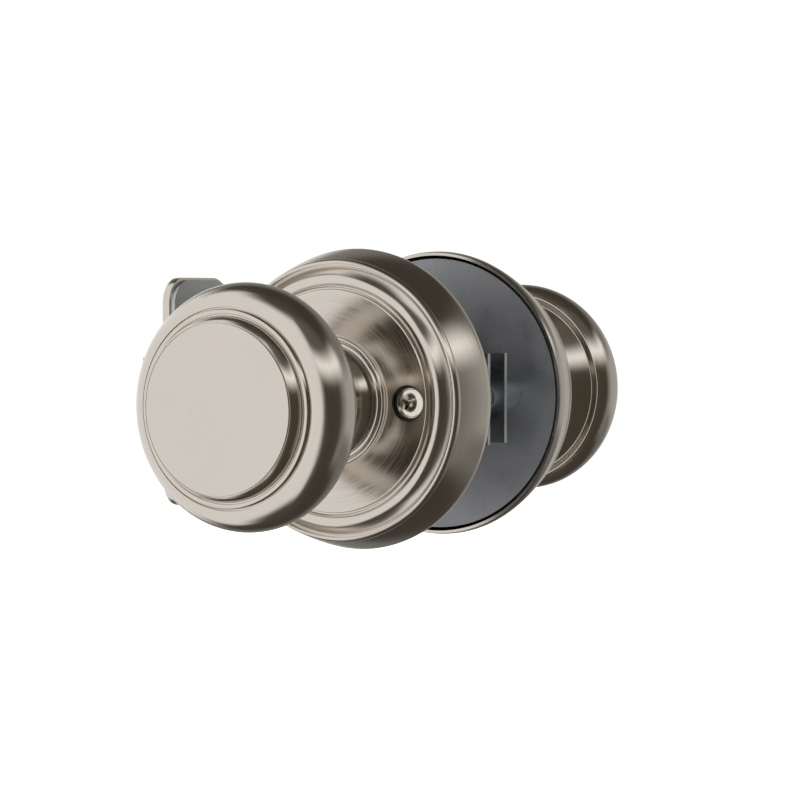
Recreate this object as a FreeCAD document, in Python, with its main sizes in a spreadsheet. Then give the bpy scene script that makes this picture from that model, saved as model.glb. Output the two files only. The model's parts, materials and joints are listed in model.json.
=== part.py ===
"""Passage door knob set: two ball-type knobs on stepped roses, spindle and spring latch.

Frame: +Z up, +Y out of the exterior side, the knob axis along Y at the middle of the
door.  Each half is drawn with its own +Z pointing out of the door and then turned.
"""
import FreeCAD, Part
import Sketcher
import math
import os
import re

os.makedirs("parts", exist_ok=True)
doc = FreeCAD.newDocument("door_knob")

# ---------------------------------------------------------------- driving sizes, mm
SIZES = {
    # door and installation
    "door_thickness": 35.0,
    "backset": 60.3,
    "screw_spacing": 41.3,
    # rose
    "rose_radius": 35.0,
    "rose_height": 13.5,
    "rose_wall": 1.0,
    "rim_foot": 2.0,
    "rim_curve": 60.0,
    "rim_lean": 3.1,
    "rim_drop": 1.45,
    "bead_notch": 0.35,
    "outer_bead_width": 1.8,
    "outer_bead_drop": 2.3,
    "bead_round": 0.95,
    "cove_round": 2.6,
    "ring_band": 3.9,
    "inner_bead_drop": 0.25,
    "inner_bead_round": 1.15,
    "inner_bead_width": 2.7,
    "plateau_groove": 0.4,
    "collar_width": 2.9,
    "collar_height": 1.8,
    "collar_step": 0.8,
    "collar_lip": 1.1,
    "rose_screw_hole": 4.1,
    # knob
    "knob_radius": 27.0,
    "knob_projection": 58.6,
    "knob_wall": 1.2,
    "face_border": 8.6,
    "face_dish": 0.4,
    "disc_line": 0.2,
    "shoulder_width": 1.6,
    "shoulder_drop": 2.8,
    "shoulder_round": 2.4,
    "groove_width": 0.2,
    "knob_bead_width": 1.2,
    "knob_bead_drop": 0.75,
    "knob_bead_round": 0.78,
    "band_round": 5.9,
    "flank_round": 8.6,
    "skirt_round": 6.7,
    "widest_drop": 11.1,
    "skirt_length": 5.3,
    "seam_tuck": 2.6,
    "seam_gap": 0.05,
    "back_depth": 8.8,
    "back_round": 26.0,
    # neck, socket and bush
    "neck_radius": 12.2,
    "neck_waist_radius": 10.6,
    "neck_flare_radius": 13.0,
    "neck_round": 9.0,
    "flare_round": 14.0,
    "neck_clearance": 0.4,
    "shank_radius": 9.5,
    "shank_lift": 0.9,
    "neck_lift": 0.2,
    "socket_radius": 6.9,
    "socket_length": 11.6,
    "neck_lip": 0.9,
    "spigot_length": 3.1,
    "core_radius": 9.0,
    "core_lap": 3.5,
    "bush_radius": 13.6,
    "bush_gap": 0.7,
    "bush_fit": 0.06,
    "ring_drop": 1.4,
    "ring_thickness": 1.0,
    "ring_depth": 0.9,
    "ring_width": 1.9,
    "ring_gap": 9.0,
    # liner, cage and return spring
    "liner_gap": 0.8,
    "liner_foot_height": 0.6,
    "liner_thickness": 1.4,
    "liner_bore": 8.5,
    "boss_wall": 1.3,
    "boss_gap": 1.5,
    "cage_gap": 0.75,
    "cage_wall": 0.8,
    "cage_headroom": 2.5,
    "spring_inset": 3.0,
    "spring_wire": 1.2,
    "spring_turns": 3.0,
    "spring_room": 4.5,
    "driver_gap": 0.5,
    "driver_thickness": 0.8,
    "driver_drop": 0.1,
    "driver_tab_width": 3.0,
    "driver_tab_drop": 3.0,
    # through fixings and spindle
    "screw_radius": 1.9,
    "screw_head_radius": 3.55,
    "screw_head_height": 2.3,
    "screw_reach": 10.0,
    "screw_clearance": 0.3,
    "recess_width": 0.9,
    "recess_length": 3.9,
    "recess_depth": 1.3,
    "post_radius": 3.4,
    "post_reach": 8.0,
    "post_fit": 0.05,
    "spindle_width": 7.6,
    "spindle_fit": 0.15,
    "spindle_inset": 3.5,
    "pin_radius": 1.0,
    "pin_height": 8.0,
    # latch
    "tube_radius": 11.7,
    "tube_wall": 0.8,
    "tube_end": 28.0,
    "cheek_inner": 3.6,
    "cheek_thickness": 1.2,
    "cheek_inset": 0.07,
    "case_tail": 27.0,
    "hub_radius": 6.95,
    "hub_fit": 0.05,
    "post_clearance": 0.4,
    "rivet_place": 16.0,
    "rivet_rise": 8.5,
    "rivet_radius": 1.5,
    "stop_thickness": 1.5,
    "arm_reach": 11.4,
    "arm_width": 3.0,
    "arm_thickness": 3.2,
    "arm_lean": 33.0,
    "hub_width": 9.2,
    "head_height": 17.0,
    "head_width": 12.7,
    "bolt_throw": 11.2,
    "bolt_flange_length": 5.5,
    "bolt_flange_fit": 0.2,
    "fork_base_thickness": 2.0,
    "fork_foot": 1.9,
    "fork_thickness": 1.2,
    "rail_inner": 7.6,
    "rail_outer": 9.9,
    "prong_gap": 0.5,
    "prong_start": 26.0,
    "hook_face": 3.34,
    "hook_thickness": 2.5,
    "hook_inner": 8.2,
    "rail_fit": 0.2,
    "latch_spring_radius": 5.6,
    "latch_wire": 1.0,
    "latch_spring_turns": 6.0,
    "plate_height": 57.2,
    "plate_width": 25.4,
    "plate_thickness": 2.0,
    "plate_corner": 6.35,
    "backplate_thickness": 1.2,
    "head_fit": 0.2,
    "wood_screw_radius": 1.9,
    "wood_screw_shoulder": 2.15,
    "wood_screw_head": 4.0,
    "wood_screw_length": 19.0,
    "wood_screw_fit": 0.2,
}

sheet = doc.addObject("Spreadsheet::Sheet", "Sizes")
for row, (alias, value) in enumerate(SIZES.items(), start=1):
    sheet.set(f"A{row}", alias)
    sheet.set(f"B{row}", str(value))
    sheet.setAlias(f"B{row}", alias)
doc.recompute()

# Sizes that follow from the driving ones
FOLLOWING = {
    "rim_top_radius": "(rose_radius - rim_lean)",
    "rim_height": "(rose_height - rim_drop)",
    "outer_bead_height": "(rose_height - outer_bead_drop)",
    "inner_bead_radius": "(rim_top_radius - ring_band)",
    "plateau_radius": "(inner_bead_radius - inner_bead_width)",
    "collar_radius": "(neck_radius + collar_width)",
    "disc_radius": "(knob_radius - face_border)",
    "widest_height": "(knob_projection - widest_drop)",
    "seam_height": "(widest_height - skirt_length)",
    "back_foot_height": "(seam_height - back_depth)",
    "neck_shoulder_height": "(rose_height + collar_height - collar_lip + neck_lift)",
    "spigot_radius": "(neck_flare_radius - neck_lip)",
    "core_flange_radius": "(neck_flare_radius + core_lap)",
    "bush_foot_height": "(liner_foot_height + liner_thickness + cage_height + bush_gap)",
    "ring_height": "(bush_foot_height - ring_drop)",
    "ring_radius": "(shank_radius + ring_width)",
    "shank_foot_height": "(liner_foot_height + liner_thickness + shank_lift)",
    "liner_radius": "(rose_radius - rose_wall - liner_gap)",
    "boss_radius": "(post_radius + boss_wall)",
    "boss_height": "(rose_height - rose_wall - boss_gap)",
    "cage_radius": "(screw_spacing/2 - boss_radius - cage_gap)",
    "cage_height": "(rose_height - rose_wall - liner_foot_height - liner_thickness - cage_headroom)",
    "spring_mean_radius": "(cage_radius - spring_inset)",
    "spring_length": "(driver_height - spring_room)",
    "driver_radius": "(cage_radius - cage_wall - driver_gap)",
    "driver_height": "(ring_height - driver_drop - driver_thickness)",
    "screw_length": "(door_thickness + screw_reach)",
    "post_length": "(door_thickness/2 + liner_foot_height + liner_thickness + post_reach)",
    "cheek_height": "(sqrt(tube_radius^2 - (cheek_inner + cheek_thickness)^2) - cheek_inset)",
    "prong_outer": "(tube_radius - prong_gap)",
}

# Heights and places that follow from the driving sizes
PLATEAU_INSIDE = "(rose_height - rose_wall)"
COLLAR_BORE = "(neck_radius + neck_clearance)"
COLLAR_RECESS = "(bush_radius + 0.1)"
LINER_TOP = "(liner_foot_height + liner_thickness)"
CAGE_TOP = f"({LINER_TOP} + cage_height)"
RECESS_TOP = "(rose_height + collar_height - collar_lip)"
GROOVE_RADIUS = "(disc_radius + shoulder_width)"
GROOVE_HEIGHT = "(knob_projection - shoulder_drop)"
BAND_RADIUS = f"({GROOVE_RADIUS} + groove_width + knob_bead_width + groove_width)"
BAND_HEIGHT = f"({GROOVE_HEIGHT} - knob_bead_drop)"
FACE_INSIDE = "(knob_projection - knob_wall)"
CORE_FOOT = "(back_foot_height + spigot_length)"
BORE_RADIUS = "(knob_radius - seam_tuck - knob_wall)"
PLATE_INSIDE = "(backset - plate_thickness)"
TUBE_START = f"({PLATE_INSIDE} - backplate_thickness)"
TUBE_BORE = "(tube_radius - tube_wall)"
SQUARE_HOLE = "(spindle_width + 2*spindle_fit)"
FLANGE_END = f"({TUBE_START} - 0.1 - bolt_flange_length)"
FORK_END = f"({FLANGE_END} - fork_base_thickness)"
STOP_START = "(tube_end + stop_thickness)"
SPINDLE_HALF = "(door_thickness/2 + shank_foot_height + socket_length - spindle_inset)"


def bound(expression):
    """Return the expression with each named size pointing at its cell."""
    def cell(match):
        name = match[0]
        if name in FOLLOWING:
            return bound(FOLLOWING[name])
        return "Sizes." + name if name in SIZES else name

    return re.sub(r"[a-z][a-z_]+[a-z]", cell, str(expression))


def number(expression):
    """Return what an expression is worth now, as plain millimetres."""
    worth = sheet.evalExpression(bound(expression))
    return float(getattr(worth, "Value", worth))


def bind(thing, **expressions):
    """Bind properties of an object; a double underscore stands for a dot."""
    for name, expression in expressions.items():
        thing.setExpression(name.replace("__", "."), bound(expression))


def new_body(label, placement_of=None):
    """Start a sub-part's body, standing in the half it belongs to."""
    body = doc.addObject("PartDesign::Body", label)
    body.Label = label
    stand(body, placement_of)
    return body


def stand(thing, side):
    """Turn a half's sub-part so that its own +Z points out of the door."""
    if side is None:
        return
    turn = 90 if side == "interior" else -90
    thing.Placement = FreeCAD.Placement(
        FreeCAD.Vector(0, 0, 0), FreeCAD.Rotation(FreeCAD.Vector(1, 0, 0), turn))
    sign = "-" if side == "interior" else ""
    bind(thing, Placement__Base__y=f"{sign}door_thickness/2")


def new_sketch(body, role, offset="0"):
    """Add a sketch on one of the body's own origin planes, raised by an offset."""
    sketch = body.newObject("Sketcher::SketchObject", body.Label + "_sketch")
    plane = [o for o in body.Origin.OriginFeatures if o.Role == role][0]
    sketch.AttachmentSupport = (plane, [""])
    sketch.MapMode = "FlatFace"
    if str(offset) != "0":
        bind(sketch, AttachmentOffset__Base__z=offset)
    return sketch


def fix_point(sketch, geometry, point, place):
    """Hold one point at a pair of expressions measured from the sketch's origin."""
    for kind, expression in zip(("DistanceX", "DistanceY"), place):
        index = sketch.addConstraint(
            Sketcher.Constraint(kind, -1, 1, geometry, point, number(expression)))
        sketch.setExpression(f"Constraints[{index}]", bound(expression))


def draw_outline(sketch, corners):
    """Draw a closed outline; a corner (x, y, radius, side) starts an arc.

    The arc runs to the next corner with its centre on that side of the way there.
    """
    points = [FreeCAD.Vector(number(c[0]), number(c[1]), 0) for c in corners]
    ends = []
    for place, corner in enumerate(corners):
        begin = points[place]
        finish = points[(place + 1) % len(points)]
        if len(corner) == 2:
            index = sketch.addGeometry(Part.LineSegment(begin, finish))
            ends.append((index, 1, 2))
            continue
        radius = number(corner[2])
        chord = finish - begin
        rise = math.sqrt(radius ** 2 - chord.Length ** 2 / 4)
        left = FreeCAD.Vector(-chord.y, chord.x, 0).normalize()
        to_left = corner[3] == "left"
        centre = (begin + finish) / 2 + left * (rise if to_left else -rise)
        first, last = (begin, finish) if to_left else (finish, begin)
        angles = [math.atan2(p.y - centre.y, p.x - centre.x) for p in (first, last)]
        circle = Part.Circle(centre, FreeCAD.Vector(0, 0, 1), radius)
        index = sketch.addGeometry(Part.ArcOfCircle(circle, angles[0], angles[1]))
        ends.append((index, 1, 2) if to_left else (index, 2, 1))
    for place, (index, start, finish) in enumerate(ends):
        follower = ends[(place + 1) % len(ends)]
        sketch.addConstraint(
            Sketcher.Constraint("Coincident", index, finish, follower[0], follower[1]))
        fix_point(sketch, index, start, corners[place][:2])
        if len(corners[place]) == 4:
            row = sketch.addConstraint(
                Sketcher.Constraint("Radius", index, number(corners[place][2])))
            sketch.setExpression(f"Constraints[{row}]", bound(corners[place][2]))


def draw_circle(sketch, x, y, radius):
    """Draw one circle, fixed at a pair of expressions."""
    centre = FreeCAD.Vector(number(x), number(y), 0)
    index = sketch.addGeometry(Part.Circle(centre, FreeCAD.Vector(0, 0, 1), number(radius)))
    fix_point(sketch, index, 3, (x, y))
    row = sketch.addConstraint(Sketcher.Constraint("Radius", index, number(radius)))
    sketch.setExpression(f"Constraints[{row}]", bound(radius))


def box_corners(width, height, x="0", y="0"):
    """Return the corners of a rectangle about a centre."""
    signs = ((-1, -1), (1, -1), (1, 1), (-1, 1))
    return [(f"{x} + {i}*({width})/2", f"{y} + {j}*({height})/2") for i, j in signs]


def revolve(body, corners):
    """Turn a closed outline, drawn as (radius, height), about the body's +Z."""
    sketch = new_sketch(body, "XZ_Plane")
    draw_outline(sketch, corners)
    turned = body.newObject("PartDesign::Revolution", body.Label + "_turned")
    turned.Profile = sketch
    turned.ReferenceAxis = (sketch, ["V_Axis"])
    turned.Angle = 360
    return body


def pad(body, sketch, length):
    """Pad a sketch along its own normal."""
    feature = body.newObject("PartDesign::Pad", body.Label + "_pad")
    feature.Profile = sketch
    bind(feature, Length=length)
    return feature


def pocket(body, sketch, length):
    """Cut a sketch into the body along the sketch's own normal."""
    feature = body.newObject("PartDesign::Pocket", body.Label + "_pocket")
    feature.Profile = sketch
    feature.Reversed = True
    bind(feature, Length=length)
    doc.recompute()
    return feature


def drill(body, places, radius, depth, role="XY_Plane", offset="0"):
    """Cut round holes of one radius, from a plane and along its normal."""
    sketch = new_sketch(body, role, offset)
    for x, y in places:
        draw_circle(sketch, x, y, radius)
    return pocket(body, sketch, depth)


# Both through-screws sit level with the knob axis
SCREW_PLACES = [("screw_spacing/2", "0"), ("-screw_spacing/2", "0")]


# ---------------------------------------------------------------- one half of the set
def make_rose(side):
    """Stamped rose: tall rim, bead, cove, second bead, flat plateau and raised collar."""
    bead_top = "rim_height - bead_notch"
    rose = revolve(new_body(f"{side}_rose", side), [
        ("rose_radius - rose_wall", "0"),
        ("rose_radius - bead_notch", "0"),
        ("rose_radius", "rim_foot", "rim_curve", "left"),
        ("rim_top_radius", "rim_height"),
        ("rim_top_radius - bead_notch", bead_top, "bead_round", "left"),
        ("rim_top_radius - outer_bead_width", "outer_bead_height", "cove_round", "right"),
        ("inner_bead_radius", "rose_height - inner_bead_drop", "inner_bead_round", "left"),
        ("plateau_radius + 2*plateau_groove", "rose_height - inner_bead_drop"),
        ("plateau_radius + plateau_groove", "rose_height - plateau_groove"),
        ("plateau_radius", "rose_height"),
        ("collar_radius", "rose_height"),
        ("collar_radius", "rose_height + collar_step", "collar_step", "left"),
        ("collar_radius - collar_step", "rose_height + collar_height - 0.4"),
        ("collar_radius - collar_step - 0.2", "rose_height + collar_height - 0.6"),
        (f"{COLLAR_BORE} + 0.8", "rose_height + collar_height"),
        (COLLAR_BORE, "rose_height + collar_height - 0.3"),
        (COLLAR_BORE, RECESS_TOP),
        (COLLAR_RECESS, RECESS_TOP),
        (COLLAR_RECESS, PLATEAU_INSIDE),
        ("inner_bead_radius - 1.2", PLATEAU_INSIDE),
        ("inner_bead_radius + rose_wall", "outer_bead_height - 1.1"),
        ("rim_top_radius - 1.1", "outer_bead_height - 1.1"),
        ("rose_radius - rose_wall", "rim_foot"),
    ])
    if side == "interior":
        drill(rose, SCREW_PLACES, "rose_screw_hole", "2*rose_height")


def make_liner(side):
    """Cast liner plate behind the rose, with a boss or a post seat at each screw."""
    liner = revolve(new_body(f"{side}_rose_liner", side), [
        ("liner_bore", "liner_foot_height"),
        ("liner_radius", "liner_foot_height"),
        ("liner_radius", LINER_TOP),
        ("liner_bore", LINER_TOP),
    ])
    hole = "screw_radius + screw_clearance"
    if side == "interior":
        sketch = new_sketch(liner, "XY_Plane", "liner_foot_height")
        for x, y in SCREW_PLACES:
            draw_circle(sketch, x, y, "boss_radius")
        pad(liner, sketch, "boss_height - liner_foot_height")
    else:
        hole = "post_radius + post_fit"
    drill(liner, SCREW_PLACES, hole, "2*boss_height")


def make_cage(side):
    """Pressed cup that holds the return spring against the liner."""
    revolve(new_body(f"{side}_spring_cage", side), [
        ("shank_radius + 0.8", LINER_TOP),
        ("cage_radius", LINER_TOP),
        ("cage_radius", CAGE_TOP),
        ("cage_radius - cage_wall", CAGE_TOP),
        ("cage_radius - cage_wall", f"{LINER_TOP} + cage_wall"),
        ("shank_radius + 0.8", f"{LINER_TOP} + cage_wall"),
    ])


def make_return_spring(side):
    """Torsion coil that brings the knob back to its middle."""
    body = new_body(f"{side}_return_spring", side)
    sketch = new_sketch(body, "XZ_Plane")
    start = f"{LINER_TOP} + cage_wall + spring_wire/2 + 0.2"
    draw_circle(sketch, "spring_mean_radius", start, "spring_wire/2")
    helix = body.newObject("PartDesign::AdditiveHelix", body.Label + "_coil")
    helix.Profile = sketch
    helix.ReferenceAxis = (sketch, ["V_Axis"])
    helix.Mode = 3
    bind(helix, Height="spring_length", Turns="spring_turns")
    helix.Growth = 0


def make_driver(side):
    """Keyed washer on the shank, with a tab that pushes the spring's end."""
    body = revolve(new_body(f"{side}_spring_driver", side), [
        ("shank_radius", "driver_height"),
        ("driver_radius", "driver_height"),
        ("driver_radius", "driver_height + driver_thickness"),
        ("shank_radius", "driver_height + driver_thickness"),
    ])
    sketch = new_sketch(body, "XY_Plane", "driver_height - driver_tab_drop")
    coil_inside = "(spring_mean_radius - spring_wire/2)"
    middle = f"(shank_radius + {coil_inside})/2"
    width = f"{coil_inside} - shank_radius - 0.4"
    draw_outline(sketch, box_corners(width, "driver_tab_width", middle))
    pad(body, sketch, "driver_tab_drop + driver_thickness/2")


def make_retaining_ring(side):
    """Open clip in the shank's groove that holds the knob in its bush."""
    inner = "shank_radius - ring_depth"
    body = revolve(new_body(f"{side}_retaining_ring", side), [
        (inner, "ring_height"),
        ("ring_radius", "ring_height"),
        ("ring_radius", "ring_height + ring_thickness"),
        (inner, "ring_height + ring_thickness"),
    ])
    sketch = new_sketch(body, "XY_Plane")
    draw_outline(sketch, box_corners("2*ring_radius", "ring_gap", "ring_radius"))
    pocket(body, sketch, "2*ring_height")


def make_bush(side):
    """Nylon bush that the shank turns in, seated in the rose's collar."""
    inner = "shank_radius + bush_fit"
    revolve(new_body(f"{side}_collar_bush", side), [
        (inner, "bush_foot_height"),
        ("bush_radius", "bush_foot_height"),
        ("bush_radius", f"{RECESS_TOP} - 0.1"),
        (inner, f"{RECESS_TOP} - 0.1"),
    ])


def make_neck(side):
    """Turned shank and waisted neck of the knob."""
    ring_floor = "shank_radius - ring_depth"
    ring_top = "ring_height + ring_thickness"
    socket_top = "shank_foot_height + socket_length"
    revolve(new_body(f"{side}_knob_neck", side), [
        ("socket_radius", "shank_foot_height"),
        ("shank_radius", "shank_foot_height"),
        ("shank_radius", "ring_height"),
        (ring_floor, "ring_height"),
        (ring_floor, ring_top),
        ("shank_radius", ring_top),
        ("shank_radius", "neck_shoulder_height"),
        ("neck_radius", "neck_shoulder_height"),
        ("neck_radius", "neck_shoulder_height + 1.6", "neck_round", "right"),
        ("neck_waist_radius", "neck_shoulder_height + 6.0"),
        ("neck_waist_radius", "back_foot_height - 8.5", "flare_round", "right"),
        ("neck_flare_radius", "back_foot_height"),
        ("spigot_radius", "back_foot_height"),
        ("spigot_radius", CORE_FOOT),
        ("socket_radius - 1.4", CORE_FOOT),
        ("socket_radius - 1.4", socket_top),
        ("socket_radius", socket_top),
    ])


def make_socket(side):
    """Drive socket pressed into the shank, with the spindle's square hole."""
    body = new_body(f"{side}_drive_socket", side)
    sketch = new_sketch(body, "XY_Plane", "shank_foot_height")
    draw_circle(sketch, "0", "0", "socket_radius")
    draw_outline(sketch, box_corners(SQUARE_HOLE, SQUARE_HOLE))
    pad(body, sketch, "socket_length")
    if side == "exterior":
        drill(body, [("0", "pin_height")], "pin_radius", "2*socket_radius",
              "YZ_Plane", "-socket_radius")


def make_core(side):
    """Turned core that carries the thin knob shells."""
    top = f"{FACE_INSIDE} - face_dish - 0.05"
    revolve(new_body(f"{side}_knob_core", side), [
        ("0", CORE_FOOT),
        ("spigot_radius", CORE_FOOT),
        ("spigot_radius", f"{CORE_FOOT} + 2.5"),
        ("core_radius", f"{CORE_FOOT} + 5"),
        ("core_radius", f"{top} - 4"),
        ("core_flange_radius", f"{top} - 0.8"),
        ("core_flange_radius", top),
        ("0", top),
    ])


def make_back(side):
    """Spun back shell, from the crimped seam down to the neck."""
    rim = f"{BORE_RADIUS} - seam_gap"
    revolve(new_body(f"{side}_knob_back", side), [
        ("neck_flare_radius", "back_foot_height", "back_round", "left"),
        (rim, "seam_height"),
        (rim, "seam_height + 1.2"),
        (f"{rim} - 1.2", "seam_height + 1.2", "back_round", "right"),
        ("neck_flare_radius", "back_foot_height + 1.2"),
        ("spigot_radius", "back_foot_height + 1.2"),
        ("spigot_radius", "back_foot_height"),
    ])


def make_front(side):
    """Spun front shell: dished disc, shoulder, groove, bead, broad band and flank."""
    edge = "disc_radius - disc_line"
    dish_round = f"(({edge})^2 + face_dish^2)/(2*face_dish)"
    bead_end = f"{GROOVE_RADIUS} + groove_width + knob_bead_width"
    revolve(new_body(f"{side}_knob_front", side), [
        ("0", "knob_projection - face_dish", dish_round, "left"),
        (edge, "knob_projection"),
        ("disc_radius", "knob_projection - 0.3"),
        ("disc_radius + disc_line", "knob_projection - 0.2", "shoulder_round", "right"),
        (GROOVE_RADIUS, GROOVE_HEIGHT),
        (f"{GROOVE_RADIUS} + groove_width", GROOVE_HEIGHT, "knob_bead_round", "right"),
        (bead_end, f"{BAND_HEIGHT} - 0.1"),
        (BAND_RADIUS, BAND_HEIGHT, "band_round", "right"),
        (f"({BAND_RADIUS} + 2*knob_radius)/3", f"({BAND_HEIGHT}*2 + widest_height)/3 + 0.3",
         "flank_round", "right"),
        ("knob_radius", "widest_height", "skirt_round", "right"),
        ("knob_radius - seam_tuck + 0.3", "seam_height + 0.3"),
        ("knob_radius - seam_tuck", "seam_height"),
        (BORE_RADIUS, "seam_height"),
        (BORE_RADIUS, "seam_height + 1.4"),
        ("knob_radius - knob_wall", "widest_height"),
        ("knob_radius - knob_wall - 1.6", f"({BAND_HEIGHT} + widest_height)/2 + 0.3"),
        (f"{BAND_RADIUS} - 0.8", f"{BAND_HEIGHT} - knob_wall"),
        (f"{GROOVE_RADIUS} - knob_wall", f"{GROOVE_HEIGHT} - 1.5"),
        (f"{edge} - 0.4", FACE_INSIDE),
        ("0", f"{FACE_INSIDE} - face_dish"),
    ])


def make_half(side):
    """Build every sub-part that both halves of the set share."""
    make_front(side)
    make_back(side)
    make_core(side)
    make_neck(side)
    make_socket(side)
    make_retaining_ring(side)
    make_rose(side)
    make_liner(side)
    make_cage(side)
    make_return_spring(side)
    make_driver(side)
    make_bush(side)


# ---------------------------------------------------------------- fixings and spindle
def make_mounting_screws():
    """Two long cross-recess screws through the interior liner's bosses."""
    body = new_body("mounting_screws", "interior")
    for x, y in SCREW_PLACES:
        shank = new_sketch(body, "XY_Plane", "boss_height - screw_length")
        draw_circle(shank, x, y, "screw_radius")
        pad(body, shank, "screw_length + screw_head_height/2")
        head = new_sketch(body, "XY_Plane", "boss_height")
        draw_circle(head, x, y, "screw_head_radius")
        pad(body, head, "screw_head_height")
        for width, height in (("recess_length", "recess_width"), ("recess_width", "recess_length")):
            slot = new_sketch(body, "XY_Plane", "boss_height + screw_head_height - recess_depth")
            draw_outline(slot, box_corners(width, height, x, y))
            pocket(body, slot, "2*recess_depth")


def make_mounting_posts():
    """Two threaded posts staked into the exterior liner."""
    body = new_body("mounting_posts", "exterior")
    for x, y in SCREW_PLACES:
        sketch = new_sketch(body, "XY_Plane", f"{LINER_TOP} - post_length")
        draw_circle(sketch, x, y, "post_radius")
        draw_circle(sketch, x, y, "screw_radius + post_fit")
        pad(body, sketch, "post_length")


def make_spindle():
    """Square spindle that joins the two knobs through the latch."""
    body = new_body("spindle", "exterior")
    sketch = new_sketch(body, "XY_Plane", f"-door_thickness/2 - {SPINDLE_HALF}")
    draw_outline(sketch, box_corners("spindle_width", "spindle_width"))
    pad(body, sketch, f"2*{SPINDLE_HALF}")
    drill(body, [("0", "pin_height")], "pin_radius", "2*spindle_width",
          "YZ_Plane", "-spindle_width")


def make_spindle_pin():
    """Cross pin that holds the spindle in the exterior socket."""
    body = new_body("spindle_pin", "exterior")
    sketch = new_sketch(body, "YZ_Plane", "-socket_radius + 0.1")
    draw_circle(sketch, "0", "pin_height", "pin_radius")
    pad(body, sketch, "2*socket_radius - 0.2")


# ---------------------------------------------------------------- latch, along -X
def place(thing, x="0", y="0", z="0"):
    """Bind a primitive's corner or centre to expressions."""
    bind(thing, Placement__Base__x=x, Placement__Base__y=y, Placement__Base__z=z)
    return thing


def block(name, x_span, y_span, z_span):
    """Return a box between pairs of expressions on each axis."""
    box = doc.addObject("Part::Box", name)
    bind(box, Length=f"({x_span[1]}) - ({x_span[0]})", Width=f"({y_span[1]}) - ({y_span[0]})",
         Height=f"({z_span[1]}) - ({z_span[0]})")
    return place(box, x_span[0], y_span[0], z_span[0])


def rod(name, axis, radius, start, length, across=("0", "0")):
    """Return a cylinder along X or Y from a start expression."""
    cylinder = doc.addObject("Part::Cylinder", name)
    bind(cylinder, Radius=radius, Height=length)
    if axis == "x":
        cylinder.Placement.Rotation = FreeCAD.Rotation(FreeCAD.Vector(0, 1, 0), 90)
        return place(cylinder, start, across[0], across[1])
    cylinder.Placement.Rotation = FreeCAD.Rotation(FreeCAD.Vector(1, 0, 0), -90)
    return place(cylinder, across[0], start, across[1])


def fuse(name, shapes):
    """Return the union of several shapes."""
    joined = doc.addObject("Part::MultiFuse", name)
    joined.Shapes = shapes
    joined.Refine = True
    return joined


def cut(label, base, tools):
    """Return a base less every tool."""
    tool = tools[0] if len(tools) == 1 else fuse(label + "_tools", tools)
    result = doc.addObject("Part::Cut", label)
    result.Base = base
    result.Tool = tool
    result.Label = label
    return result


def make_latch_case():
    """Drawn tube and two cheeks that carry the hub."""
    tube = rod("case_tube", "x", "tube_radius", f"-{TUBE_START}", f"{TUBE_START} - tube_end")
    outer = "cheek_inner + cheek_thickness"
    cheeks = [
        block(f"case_cheek_{index}", ("-tube_end - 2", "case_tail"), span,
              ("-cheek_height", "cheek_height"))
        for index, span in enumerate((("cheek_inner", outer), (f"-({outer})", "-cheek_inner")))
    ]
    bore = rod("case_bore", "x", TUBE_BORE, f"-{TUBE_START} - 1", f"{TUBE_START} - tube_end + 2")
    inside = block("case_inside", ("-tube_end - 3", "case_tail + 1"),
                   ("-cheek_inner", "cheek_inner"), ("-cheek_height", "cheek_height"))
    hub_hole = rod("case_hub_hole", "y", "hub_radius + hub_fit", "-tube_radius", "2*tube_radius")
    post_holes = [
        rod(f"case_post_hole_{index}", "y", "post_radius + post_clearance", "-tube_radius",
            "2*tube_radius", (f"{sign}*screw_spacing/2", "0"))
        for index, sign in enumerate((-1, 1))
    ]
    rivet_holes = [
        rod(f"case_rivet_hole_{index}", "y", "rivet_radius", "-tube_radius", "2*tube_radius",
            ("rivet_place", f"{sign}*rivet_rise"))
        for index, sign in enumerate((-1, 1))
    ]
    body = fuse("case_solid", [tube] + cheeks)
    cut("latch_case", body, [bore, inside, hub_hole] + post_holes + rivet_holes)


def make_case_rivets():
    """Two spacer rivets that tie the cheeks at the tail."""
    half = "cheek_inner + cheek_thickness + 0.6"
    fuse("case_rivets", [
        rod(f"rivet_{index}", "y", "rivet_radius", f"-({half})", f"2*({half})",
            ("rivet_place", f"{sign}*rivet_rise"))
        for index, sign in enumerate((-1, 1))
    ])


def make_spring_stop():
    """Disc that the latch spring pushes on, notched for the fork's rails."""
    disc = rod("stop_disc", "x", f"{TUBE_BORE} - 0.02", f"-{STOP_START}", "stop_thickness")
    notches = [
        block(f"stop_notch_{index}", (f"-{STOP_START} - 1", "-tube_end + 1"),
              ("fork_foot - rail_fit", "fork_foot + fork_thickness + rail_fit"), span)
        for index, span in enumerate((
            ("rail_inner - rail_fit", "rail_outer + rail_fit"),
            ("-(rail_outer + rail_fit)", "-(rail_inner - rail_fit)")))
    ]
    cut("spring_stop", disc, notches)


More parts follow.
